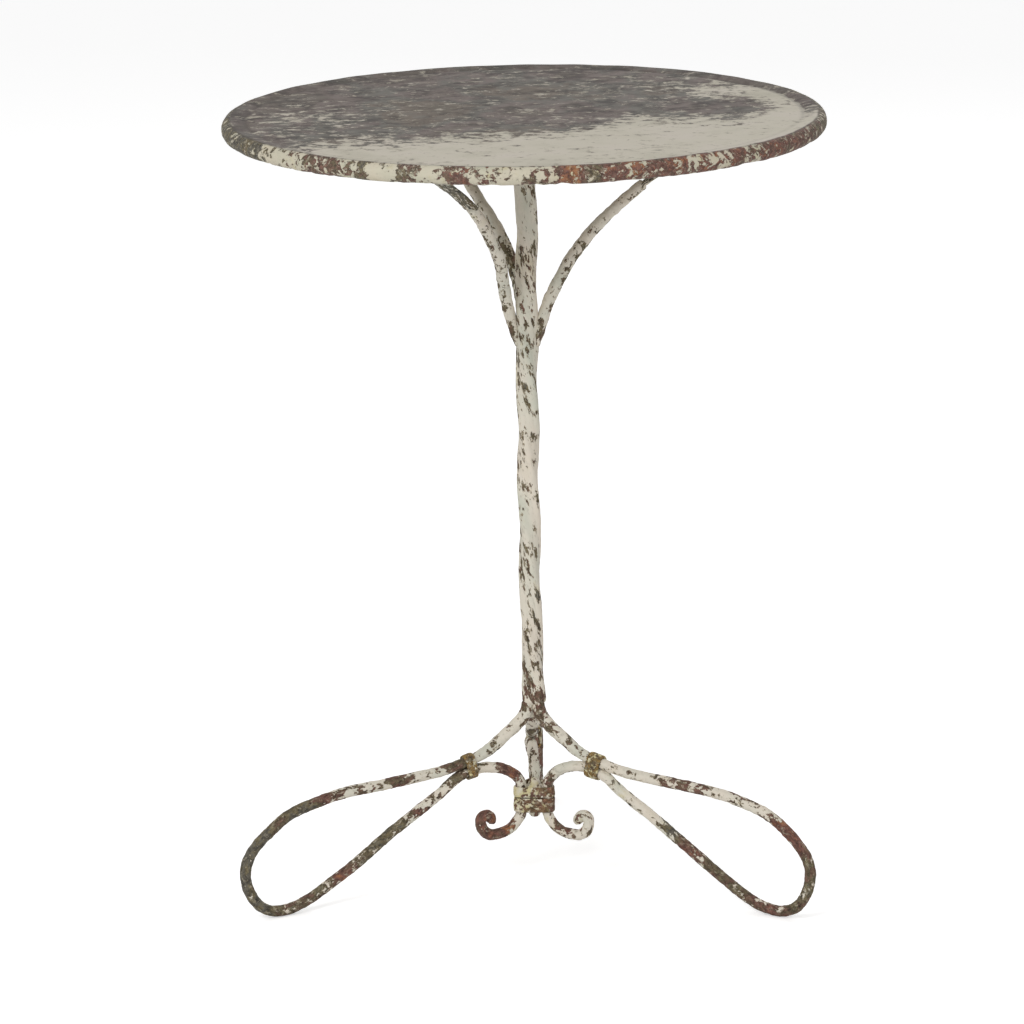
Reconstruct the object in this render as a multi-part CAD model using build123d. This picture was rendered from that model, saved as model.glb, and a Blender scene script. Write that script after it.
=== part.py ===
from build123d import *
import math
import os

# Round garden table in wrought iron: a wired sheet top on a stem of three twisted rods.
# Three legs of bent rod make teardrop loops at the floor and small scrolls under a strapped hub.
# Origin: on the floor at the stem's axis. +Z up, the user stands at -Y, one leg points to +Y.

# ---- overall ----
HEIGHT = 750.0
TOP_RADIUS = 286.5
SURFACE_Z = 748.0            # the eating surface, a little below the rim's crest

# ---- top sheet and its wired rim ----
SHEET = 1.6                  # sheet thickness
RIM_WIDTH = 22.0             # how far in the rolled rim starts
RIM_DEPTH = 17.0             # crest of the rim to its turned-under edge
RIM_HEM = 12.0               # how far the turned-under edge runs back in
WIRE_RADIUS = 4.4            # hoop inside the roll

# ---- plate between the stem and the sheet ----
HEAD_RADIUS = 36.0
HEAD_THICK = 4.0

# ---- stem: three rods twisted together ----
STRAND_AZIMUTHS = {"right": 330.0, "back": 90.0, "left": 210.0}
STRAND_RADIUS = 5.2
STRAND_OFFSET = 6.05         # rod centre to stem axis
TWIST_PITCH = 290.0          # one whole turn, left-handed
FOOT_Z = 176.0               # the strands end here and the legs' rods go on

# ---- branches under the top ----
BRANCH_RADIUS = 5.5
BRANCH_AZIMUTHS = {"right": 3.0, "back": 123.0, "left": 243.0}
TAB_WIDTH = 15.0
TAB_THICK = 4.4
TAB_END = 262.0              # where a tab ends, measured out from the axis

# ---- legs ----
ROD_RADIUS = 5.0
LEG_AZIMUTHS = {"right": 326.5, "back": 90.0, "left": 207.6}
LEG_REACH = 311.0            # out to the far bend of a front leg's loop
BACK_REACH = 291.0           # the back leg's loop is bent up a little sooner
COLLAR_OUT = 70.5            # the collar's distance from the axis
COLLAR_Z = 118.0
COLLAR_TILT = 12.0           # both rods slope down outwards through the collar
COLLAR_LENGTH = 10.0
COLLAR_WALL = 3.0
KISS = 10.1                  # spacing of the two rod centres in the collar
SCROLL_Z = 45.5              # the scroll's lowest point
CURL_OUT = {"right": 56.6, "left": 54.0}
CURL_Z = 60.6
CURL_BEHIND = 8.5            # the lowest point is this far back from the curl's centre
CURL_RADIUS = 5.6
TIP_RADIUS = 5.3
TAIL_LOW = 55.0              # the back leg ends here, without a scroll

# ---- hub ----
HUB_OFFSET = 14.6            # rod centre to axis inside the hub
STRAP_WALL = 2.5
LOWER_STRAP = (65.0, 78.4)
UPPER_STRAP = (80.2, 89.6)
DOME = 6.5                   # rounded head of the core above the upper strap
HUB_CLEAR = 0.05

os.makedirs("parts", exist_ok=True)


def write(node, shape):
    shape.label = node
    export_step(shape, f"parts/{node}.step")


def heading(angle):
    """Unit step in the upright plane: 0 is outwards, 90 is up."""
    a = math.radians(angle)
    return Vector(math.cos(a), 0, math.sin(a))


def bend(stations):
    """A smooth upright line through (out, up, heading) stations; even turns come out as arcs."""
    pieces = []
    for (x0, z0, a0), (x1, z1, a1) in zip(stations, stations[1:]):
        start = Vector(x0, 0, z0)
        end = Vector(x1, 0, z1)
        turn = math.radians(abs(a1 - a0))
        pull = (end - start).length / 3 / math.cos(turn / 4) ** 2
        pieces.append(Bezier(start, start + heading(a0) * pull, end - heading(a1) * pull, end))
    return Wire(pieces)


def rod(path, radius):
    """A round bar along a path."""
    start = Plane(origin=path @ 0, z_dir=path % 0)
    return sweep(start * Circle(radius), path=path)


# ---- top sheet: flat disc, raised roll at the edge, turned under ----
R = TOP_RADIUS
crest = HEIGHT - SHEET / 2
belly = R - SHEET / 2
under = HEIGHT - RIM_DEPTH + SHEET / 2
flat = SURFACE_Z - SHEET / 2
roll = [
    (R - RIM_WIDTH, flat),
    (R - RIM_WIDTH * 0.72, flat + 0.45),
    (R - RIM_WIDTH * 0.42, crest),
    (R - RIM_WIDTH * 0.16, crest - 1.9),
    (belly, crest - 6.6),
    (belly - 0.4, crest - 11.0),
    (R - RIM_WIDTH * 0.24, under),
    (R - RIM_HEM, under + 0.5),
]


def beside(line, distance, samples=48):
    """The line shifted sideways in the XZ plane by a distance."""
    moved = []
    for i in range(samples + 1):
        t = i / samples
        d = line % t
        moved.append(line @ t + Vector(-d.Z, 0, d.X) * distance)
    return Spline(*moved)


middle = Spline(*[Vector(r, 0, z) for r, z in roll], tangents=((1, 0, 0), (-1, 0, 0.1)))
outside = beside(middle, SHEET / 2)
inside = beside(middle, -SHEET / 2)
axis_top = Vector(0, 0, (outside @ 0).Z)
axis_low = Vector(0, 0, (inside @ 0).Z)
section = make_face([
    Line(axis_top, outside @ 0),
    outside,
    Line(outside @ 1, inside @ 1),
    inside,
    Line(inside @ 0, axis_low),
    Line(axis_low, axis_top),
])
write("top_sheet", revolve(section, axis=Axis.Z))

wire_z = HEIGHT - RIM_DEPTH / 2 - 0.1
wire_r = R - SHEET - WIRE_RADIUS - 1.2
write("rim_wire", Pos(0, 0, wire_z) * Torus(wire_r, WIRE_RADIUS))

# ---- head plate ----
sheet_under = SURFACE_Z - SHEET
head_low = sheet_under - HEAD_THICK
head = Pos(0, 0, head_low) * Cylinder(HEAD_RADIUS, HEAD_THICK, align=(Align.CENTER, Align.CENTER, Align.MIN))
write("head_plate", chamfer(head.edges().group_by(Axis.Z)[0], 1.0))

# ---- stem strands ----
strand_height = head_low - FOOT_Z
for side, azimuth in STRAND_AZIMUTHS.items():
    helix = Helix(TWIST_PITCH, strand_height, STRAND_OFFSET, lefthand=True)
    start = Plane(origin=helix @ 0, z_dir=helix % 0)
    strand = sweep(start * Circle(STRAND_RADIUS), path=helix, is_frenet=True)
    level = Pos(0, 0, strand_height / 2) * Box(60, 60, strand_height)
    strand = strand & level
    write(f"strand_{side}", Rot(0, 0, azimuth) * Pos(0, 0, FOOT_Z) * strand)

# ---- branches: a rod scarfed onto the stem, drawn out at its end into a flat tab to the sheet ----
branch_stations = [
    (12.6, 524, 84),
    (15.5, 553, 74),
    (25.3, 578, 63),
    (46.7, 613.8, 54),
    (77.5, 649.3, 43),
    (100, 669.2, 39),
    (114, 680.0, 35),
]
joint = Vector(114, 0, 680.0) + heading(35) * 0.05
tab_z = sheet_under - TAB_THICK / 2 - 0.05
tab_stations = [
    (joint.X, joint.Z, 35),
    (150, 702.3, 28),
    (200, 726.0, 23),
    (238, tab_z - 4.0, 16),
    (TAB_END, tab_z, 0),
]
stem_envelope = STRAND_OFFSET + STRAND_RADIUS + 0.1
stem_space = Pos(0, 0, 600) * Cylinder(stem_envelope, 400)
branch = rod(bend(branch_stations), BRANCH_RADIUS) - stem_space
tab_path = bend(tab_stations)
tab_plane = Plane(origin=tab_path @ 0, x_dir=(0, 1, 0), z_dir=tab_path % 0)
tab = sweep(tab_plane * RectangleRounded(TAB_WIDTH, TAB_THICK, 1.2), path=tab_path)
for side, azimuth in BRANCH_AZIMUTHS.items():
    write(f"branch_{side}", Rot(0, 0, azimuth) * branch)
    write(f"tab_{side}", Rot(0, 0, azimuth) * tab)

# ---- legs: one bent rod each, from the stem's foot round the loop to the scroll ----
through = heading(-COLLAR_TILT)
across = heading(90 - COLLAR_TILT)
collar_centre = Vector(COLLAR_OUT, 0, COLLAR_Z)
kiss_high = collar_centre + across * (KISS / 2)
kiss_low = collar_centre - across * (KISS / 2)


def leg_stations(side):
    """Stations of a leg's rod, from the stem's foot to the scroll or the back leg's plain tail."""
    back = 180 - COLLAR_TILT
    start = [
        (STRAND_OFFSET, FOOT_Z - 0.1, -90),
        (9.6, 161, -52),
        (38, 137.8, -37),
        (kiss_high.X - 6 * through.X, kiss_high.Z - 6 * through.Z, -COLLAR_TILT - 4),
        (kiss_high.X + 6 * through.X, kiss_high.Z + 6 * through.Z, -COLLAR_TILT),
    ]
    going_out = [
        (110, 116.3, -5),
        (161, 113.5, -3),
        (228, 108.0, -13),
    ]
    far_bend = [
        (277.5, 90.5, -36),
        (LEG_REACH, 46, -90),
        (301, 17, -128),
        (270.5, ROD_RADIUS, -184),
    ]
    if side == "back":
        far_bend = [
            (265, 90.5, -41),
            (BACK_REACH, 47, -90),
            (285, 18, -124),
            (266, ROD_RADIUS, -184),
        ]
    coming_home = [
        (224, 22.5, -211),
        (151, 67.0, -212),
        (104, 95.0, -211),
    ]
    loop = going_out + far_bend + coming_home
    end = [
        (kiss_low.X + 6 * through.X, kiss_low.Z + 6 * through.Z, back - 360),
        (kiss_low.X - 6 * through.X, kiss_low.Z - 6 * through.Z, back - 357),
        (38, 111.5, -164),
        (22, 102.5, -137),
        (HUB_OFFSET, UPPER_STRAP[1], -90),
    ]
    if side == "back":
        return start + loop + end + [(HUB_OFFSET, TAIL_LOW, -90)]
    curl = CURL_OUT[side]
    scroll = [
        (HUB_OFFSET, LOWER_STRAP[0], -90),
        (23.5, 51.5, -43),
        (curl - CURL_BEHIND, SCROLL_Z, 0),
        (curl + CURL_RADIUS, CURL_Z, 90),
        (curl, CURL_Z + CURL_RADIUS, 180),
        (curl - CURL_RADIUS * 0.985, CURL_Z + CURL_RADIUS * 0.174, 260),
    ]
    return start + loop + end + scroll


for side, azimuth in LEG_AZIMUTHS.items():
    path = bend(leg_stations(side))
    tip = Pos(*(path @ 1)) * Sphere(ROD_RADIUS if side == "back" else TIP_RADIUS)
    leg = rod(path, ROD_RADIUS) + tip
    write(f"leg_{side}", Rot(0, 0, azimuth) * leg)

# ---- collars: a strip bent round the two rods of each leg ----
bore = 2 * ROD_RADIUS + 0.3
inner = SlotOverall(KISS + bore, bore)
outer = SlotOverall(KISS + bore + 2 * COLLAR_WALL, bore + 2 * COLLAR_WALL)
collar_plane = Plane(origin=collar_centre, x_dir=across, z_dir=through)
collar = extrude(outer - inner, COLLAR_LENGTH / 2, both=True)
for side, azimuth in LEG_AZIMUTHS.items():
    write(f"collar_{side}", Rot(0, 0, azimuth) * (collar_plane.location * collar))

# ---- hub: a core between the three rods and two straps round them ----
core_radius = HUB_OFFSET - ROD_RADIUS - HUB_CLEAR
core_low = LOWER_STRAP[0] - 2
core_height = UPPER_STRAP[1] - 1 - core_low
core = Cylinder(core_radius, core_height, align=(Align.CENTER, Align.CENTER, Align.MIN))
core = chamfer(core.edges(), 0.8)
dome = Pos(0, 0, core_height - 1) * scale(Sphere(7.0), (1, 1, (DOME + 2) / 7.0))
write("hub_core", Pos(0, 0, core_low) * (core + dome))

rods_in_hub = [Vector(HUB_OFFSET, 0).rotate(Axis.Z, azimuth) for azimuth in LEG_AZIMUTHS.values()]
triangle = Polygon(*[(v.X, v.Y) for v in rods_in_hub], align=None)
strap_in = offset(triangle, ROD_RADIUS + HUB_CLEAR, kind=Kind.ARC)
strap_out = offset(triangle, ROD_RADIUS + HUB_CLEAR + STRAP_WALL, kind=Kind.ARC)
for node, (low, high) in {"hub_strap_lower": LOWER_STRAP, "hub_strap_upper": UPPER_STRAP}.items():
    strap = extrude(strap_out - strap_in, high - low)
    write(node, Pos(0, 0, low) * strap)
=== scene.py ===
# %% [markdown]
# # A wrought-iron cafe table, painted cream and left outdoors
#
# The table is a sheet-metal disc on a stem of three twisted rods. Three legs, each one long bent rod,
# run out to a teardrop loop on the floor and back into a strapped hub; the two front ones end in a
# small scroll below it. We load the measured model first. Every piece is laid over it, in metres, +Z up.

# %% Load the frame
import math

import bpy
import numpy as np
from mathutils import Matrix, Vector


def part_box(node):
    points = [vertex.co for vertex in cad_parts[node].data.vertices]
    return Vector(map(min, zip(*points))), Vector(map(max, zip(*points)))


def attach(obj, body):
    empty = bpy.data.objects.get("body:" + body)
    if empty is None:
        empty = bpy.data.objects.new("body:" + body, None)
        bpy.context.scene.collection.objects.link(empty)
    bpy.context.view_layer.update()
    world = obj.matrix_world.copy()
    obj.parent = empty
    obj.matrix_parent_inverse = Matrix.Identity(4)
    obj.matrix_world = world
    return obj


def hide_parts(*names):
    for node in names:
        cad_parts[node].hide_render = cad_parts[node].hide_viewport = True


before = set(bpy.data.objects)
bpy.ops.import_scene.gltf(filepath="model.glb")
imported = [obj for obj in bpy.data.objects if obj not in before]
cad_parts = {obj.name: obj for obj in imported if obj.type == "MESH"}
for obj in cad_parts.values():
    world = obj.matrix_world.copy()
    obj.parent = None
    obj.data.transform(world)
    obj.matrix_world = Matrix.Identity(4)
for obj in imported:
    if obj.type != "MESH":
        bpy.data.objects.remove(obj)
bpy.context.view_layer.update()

# %% [markdown]
# ## Camera, light and floor
#
# A long lens from well back keeps the legs nearly parallel, as furniture is usually shown.
# The whole setting is pale: a near-white floor, an even white sky and three large soft lamps.
# The standard colour view shows paint colours as they are mixed, with no film curve over them.

# %% Camera
CAMERA_BACK = 5.60
CAMERA_HEIGHT = 1.727
CAMERA_TILT = math.radians(13.70)
CAMERA_ROLL = math.radians(0.95)
CAMERA_TURN = math.radians(0.178)
LENS_MM = 210.9

scene = bpy.context.scene
eye = bpy.data.objects.new("camera", bpy.data.cameras.new("camera"))
scene.collection.objects.link(eye)
eye.data.sensor_width = 36.0
eye.data.lens = LENS_MM
eye.data.clip_end = 60.0
eye.location = (0.0, -CAMERA_BACK, CAMERA_HEIGHT)
eye.rotation_mode = "QUATERNION"


def turned(axis, angle):
    """A quaternion that turns by angle about one axis: cos of half, then sin of half along the axis."""
    half = angle / 2
    return np.array([math.cos(half), *(math.sin(half) * np.array(axis, float))])


def after(first, then):
    """Hamilton product: the turn `then` made in the axes that `first` left."""
    w1, v1 = first[0], first[1:]
    w2, v2 = then[0], then[1:]
    return np.array([w1 * w2 - v1 @ v2, *(w1 * v2 + w2 * v1 + np.cross(v1, v2))])


aim = after(turned((0, 0, 1), CAMERA_TURN), turned((1, 0, 0), math.pi / 2 - CAMERA_TILT))
eye.rotation_quaternion = after(aim, turned((0, 0, 1), -CAMERA_ROLL))
scene.camera = eye
print("camera at", tuple(round(v, 3) for v in eye.location))

# %% Sky
SKY_LIGHT = 0.53
SKY_SEEN = 0.98

scene.view_settings.view_transform = "Standard"
scene.view_settings.look = "None"
sky = bpy.data.worlds.new("sky")
scene.world = sky
sky.use_nodes = True
air = sky.node_tree.nodes["Background"]
air.inputs["Color"].default_value = (1.0, 1.0, 1.0, 1.0)
brightness = sky.node_tree.nodes.new("ShaderNodeMapRange")
brightness.inputs["To Min"].default_value = SKY_LIGHT
brightness.inputs["To Max"].default_value = SKY_SEEN
ray = sky.node_tree.nodes.new("ShaderNodeLightPath")
sky.node_tree.links.new(ray.outputs["Is Camera Ray"], brightness.inputs["Value"])
sky.node_tree.links.new(brightness.outputs[0], air.inputs["Strength"])
print("sky lights with", SKY_LIGHT, "and shows as", SKY_SEEN)


# %% Lamps
def soft_lamp(name, place, target, size, watts):
    """A square area lamp at place, its face turned to target."""
    lamp = bpy.data.lights.new(name, "AREA")
    lamp.size = size
    lamp.energy = watts
    holder = bpy.data.objects.new(name, lamp)
    scene.collection.objects.link(holder)
    holder.location = place
    way = np.array(target, float) - np.array(place, float)
    flat = math.hypot(way[0], way[1])
    pitch = math.pi / 2 + math.atan2(way[2], flat)
    holder.rotation_euler = (pitch, 0, math.atan2(way[1], way[0]) - math.pi / 2)
    print(f"{name}: {watts} W, {size} m wide")


soft_lamp("key lamp", (-1.7, -2.8, 2.7), (0, 0, 0.4), 1.5, 56.0)
soft_lamp("fill lamp", (2.8, -2.2, 1.4), (0, 0, 0.4), 2.4, 12.0)
soft_lamp("back lamp", (0.6, 3.0, 2.6), (0, 0, 0.5), 2.4, 16.0)

# %% Floor
FLOOR_HALF = 14.0
FLOOR_Z = -0.0005
FLOOR_GLOW = 0.44

floor_paint = bpy.data.materials.new("pale floor")
floor_paint.use_nodes = True
tree = floor_paint.node_tree
boards = tree.nodes["Principled BSDF"]
boards.inputs["Base Color"].default_value = (0.93, 0.93, 0.93, 1)
boards.inputs["Roughness"].default_value = 0.9
boards.inputs["Emission Color"].default_value = (1, 1, 1, 1)
ray = tree.nodes.new("ShaderNodeLightPath")
glow = tree.nodes.new("ShaderNodeMath")
glow.operation = "MULTIPLY"
glow.inputs[1].default_value = FLOOR_GLOW
tree.links.new(ray.outputs["Is Camera Ray"], glow.inputs[0])
tree.links.new(glow.outputs[0], boards.inputs["Emission Strength"])

floor_mesh = bpy.data.meshes.new("floor")
corners = [(x * FLOOR_HALF, y * FLOOR_HALF, FLOOR_Z) for x, y in ((-1, -1), (1, -1), (1, 1), (-1, 1))]
floor_mesh.from_pydata(corners, [], [(0, 1, 2, 3)])
floor_mesh.materials.append(floor_paint)
floor = bpy.data.objects.new("floor", floor_mesh)
scene.collection.objects.link(floor)
print("floor ready,", 2 * FLOOR_HALF, "m square")

# %% [markdown]
# ## Numbers into surfaces
#
# Every piece is a skin of rings: a closed ring of points carried from one end of the piece to the other.
# We work out all the points as one array, then join neighbours with four-sided faces.
# Forged iron is never quite true, so a small helper also gives a smooth, repeatable unevenness.

# %% Unevenness
def lumps(at, size, seed, waves=12):
    """Smooth unevenness, about -1 to 1: the mean of sine waves about `size` long in random directions."""
    rng = np.random.default_rng(seed)
    ways = rng.normal(size=(waves, 3))
    ways /= np.linalg.norm(ways, axis=1, keepdims=True)
    ways *= 2 * np.pi / size * rng.uniform(0.7, 1.5, (waves, 1))
    phases = rng.uniform(0, 2 * np.pi, waves)
    return np.sin(at @ ways.T + phases).mean(-1) * 1.8


def eased(x, low, high):
    """0 below low, 1 above high, and a smooth 3t^2 - 2t^3 between."""
    t = np.clip((x - low) / (high - low), 0.0, 1.0)
    return t * t * (3 - 2 * t)


def run_along(points):
    """How far each point lies from the first one, measured along the line of points."""
    return np.concatenate([[0], np.cumsum(np.linalg.norm(np.diff(points, axis=0), axis=1))])


def spun(radius, a, height):
    """Points at a radius, at the angles a round the stem's axis and at a height."""
    return np.stack([radius * np.cos(a), radius * np.sin(a), height + 0 * a], axis=-1)


# %% Skins
def ring_faces(rings, around, closed):
    """Index rows of the four-sided faces between rings; closed also joins the last ring to the first."""
    ring = np.arange(rings if closed else rings - 1)[:, None]
    step = np.arange(around)[None, :]
    here = ring * around + step
    beside = ring * around + (step + 1) % around
    above = (ring + 1) % rings * around + step
    above_beside = (ring + 1) % rings * around + (step + 1) % around
    return np.stack([here, beside, above_beside, above], axis=-1).reshape(-1, 4)


def skin(name, grid, notes=None, closed=False):
    """A closed piece from a (rings, around, 3) grid; its ends meet in one middle point each unless closed.
    notes are extra values at the same points, kept as attributes for the finishes to read."""
    rings, around = grid.shape[:2]
    points = grid.reshape(-1, 3)
    faces = ring_faces(rings, around, closed).tolist()
    if not closed:
        first, last = len(points), len(points) + 1
        points = np.concatenate([points, grid[:1].mean(1), grid[-1:].mean(1)])
        step = np.arange(around)
        ahead = (step + 1) % around
        top = (rings - 1) * around
        faces += np.stack([ahead, step, np.full(around, first)], axis=-1).tolist()
        faces += np.stack([top + step, top + ahead, np.full(around, last)], axis=-1).tolist()
    triangles = np.array([f[:3] for f in faces] + [[f[0], f[2], f[3]] for f in faces if len(f) == 4])
    a, b, c = (points[triangles[:, k]] for k in range(3))
    if (np.cross(a, b) * c).sum() < 0:
        faces = [f[::-1] for f in faces]
    mesh = bpy.data.meshes.new(name)
    mesh.from_pydata(points.tolist(), [], faces)
    mesh.shade_smooth()
    for note, values in (notes or {}).items():
        values = np.asarray(values, float)
        wide = values.ndim == 3
        flat = values.reshape(-1, 3) if wide else values.reshape(-1)
        if not closed:
            flat = np.concatenate([flat, values[:1].mean(1), values[-1:].mean(1)])
        kept = mesh.attributes.new(note, "FLOAT_VECTOR" if wide else "FLOAT", "POINT")
        kept.data.foreach_set("vector" if wide else "value", flat.astype(np.float32).ravel())
    piece = bpy.data.objects.new(name, mesh)
    scene.collection.objects.link(piece)
    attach(piece, "root")
    print(f"{name}: {len(points)} points, {len(faces)} faces")
    return piece


# %% [markdown]
# ## Lines that a rod follows
#
# A smith bends a rod at a few places and lets it run fair between them. We do the same: each station says
# how far out, how high and which way the rod is heading, and a curve joins the stations with the handles
# of a circular arc, so an even turn comes out round.

# %% Bent lines
MM = 0.001


def bent_line(stations, spacing=0.0012):
    """Evenly spaced (out, up) points through (out, up, heading) stations in millimetres and degrees.
    Each span is a cubic with handles chord/3/cos^2(turn/4), which is a circular arc for an even turn."""
    table = np.array(stations, float)
    start = table[:-1, None, :2]
    end = table[1:, None, :2]
    angle = np.radians(table[:, 2])
    way = np.stack([np.cos(angle), np.sin(angle)], axis=-1)
    turn = np.abs(np.diff(angle))[:, None, None]
    pull = np.linalg.norm(end - start, axis=-1, keepdims=True) / 3 / np.cos(turn / 4) ** 2
    t = np.linspace(0, 1, 40, endpoint=False)[None, :, None]
    s = 1 - t
    leave = start + way[:-1, None] * pull
    arrive = end - way[1:, None] * pull
    fine = (start * s**3 + 3 * leave * s * s * t + 3 * arrive * s * t * t + end * t**3).reshape(-1, 2)
    fine = np.concatenate([fine, table[-1:, :2]]) * MM
    run = run_along(fine)
    even = np.linspace(0, run[-1], int(run[-1] / spacing) + 1)
    return np.stack([np.interp(even, run, fine[:, k]) for k in (0, 1)], axis=-1), even


# %% Values told along a line
def told(value, at):
    """A constant, or a list of (place, value) pairs read at the places `at` with straight runs between."""
    if np.isscalar(value):
        return np.full(at.shape, float(value))
    pairs = np.array(value, float)
    return np.interp(at, pairs[:, 0], pairs[:, 1])


# %% Rods
# A paint value of 0 puts COVER_LEAST into the mask of the finish, and 1 puts COVER_SPAN more.
COVER_LEAST = 0.15
COVER_SPAN = 0.66
# The flakes' pattern advances by this share of the distance, which draws the flakes out along the rod.
GRAIN = 0.62
RING_GRAIN = 5.0 * MM


def rod(
    name, stations, thick, azimuth, paint, warm, seed,
    around=26, shape=None, wander=0.7 * MM, blunt=None, worn_low=0.0,
):
    """A forged bar: rings of radius thick/2 carried along a bent line, in the upright plane at an azimuth.
    azimuth, thick, paint and warm may be lists of (distance along in mm, value); shape(a) squashes the ring
    to (in-plane, sideways) offsets; blunt rounds the ends over that many metres; worn_low takes paint off
    the rod's lower side by that much."""
    line, along = bent_line(stations)
    distance = along / MM
    turn = np.radians(told(azimuth, distance))
    outward = np.stack([np.cos(turn), np.sin(turn), 0 * turn], axis=-1)
    sideways = np.stack([-np.sin(turn), np.cos(turn), 0 * turn], axis=-1)
    centre = outward * line[:, :1] + np.array([0, 0, 1.0]) * line[:, 1:]
    way = np.gradient(centre, axis=0)
    way /= np.linalg.norm(way, axis=1, keepdims=True)
    normal = np.cross(sideways, way)
    normal /= np.linalg.norm(normal, axis=1, keepdims=True)
    side = np.cross(way, normal)
    calm = eased(along, 0.0, 0.03) * eased(along[-1] - along, 0.0, 0.03)
    drift = np.stack([lumps(centre, 0.07, seed), lumps(centre, 0.09, seed + 1)], axis=-1)
    drift = drift * wander * calm[:, None]
    centre = centre + normal * drift[:, :1] + side * drift[:, 1:]
    radius = told(thick, distance) / 2 * MM
    nose = radius if blunt is None else np.minimum(radius, blunt)
    near_end = np.minimum(along, along[-1] - along)
    short = np.clip(near_end / np.maximum(nose, 1e-6), 0.0, 1.0)
    radius = radius * np.sqrt(np.clip(1 - (1 - short) ** 2, 0.0004, 1))
    a = np.linspace(0, 2 * np.pi, around, endpoint=False)
    up_shape, side_shape = shape(a) if shape else (np.cos(a), np.sin(a))
    ring = normal[:, None] * up_shape[None, :, None] + side[:, None] * side_shape[None, :, None]
    grid = centre[:, None] + ring * radius[:, None, None]
    hammered = 1 + 0.06 * lumps(grid, 0.016, seed + 2) + 0.06 * lumps(grid, 0.0075, seed + 3)
    hammered = hammered + 0.035 * lumps(grid, 0.004, seed + 6)
    grid = centre[:, None] + ring * (radius[:, None] * hammered)[..., None]
    pattern = np.zeros(grid.shape)
    pattern[..., :2] = np.stack([up_shape, side_shape], axis=-1) * RING_GRAIN
    pattern[..., 2] = along[:, None] * GRAIN
    wavered = distance[:, None] + 4.5 * lumps(grid, 0.011, seed + 4)
    cover = COVER_LEAST + COVER_SPAN * told(paint, wavered) - worn_low * np.cos(a)[None, :]
    piece = skin(name, grid, {"grain": pattern, "cover": cover, "warm": told(warm, wavered)})
    print(f"  runs {along[-1] / MM:.0f} mm")
    return piece


# %% [markdown]
# ## Finishes: what is left of the paint
#
# The iron has one story told all over: cream paint in a thick coat, rust creeping under it, flakes gone.
# A mask decides where paint is left. It adds how much paint the piece's own note says is left (cover), a
# cloudy noise, and the random values of small cells, which give chips their straight broken edges.
# Paint near an edge is stained by the rust; the coat itself stands a fraction of a millimetre proud.

# %% Material bench
def tone(red, green, blue):
    """A colour given as 0 to 255 screen values, turned to the linear numbers that light works in."""
    c = np.array([red, green, blue]) / 255
    return tuple(np.where(c <= 0.04045, c / 12.92, ((c + 0.055) / 1.055) ** 2.4)) + (1.0,)


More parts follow.
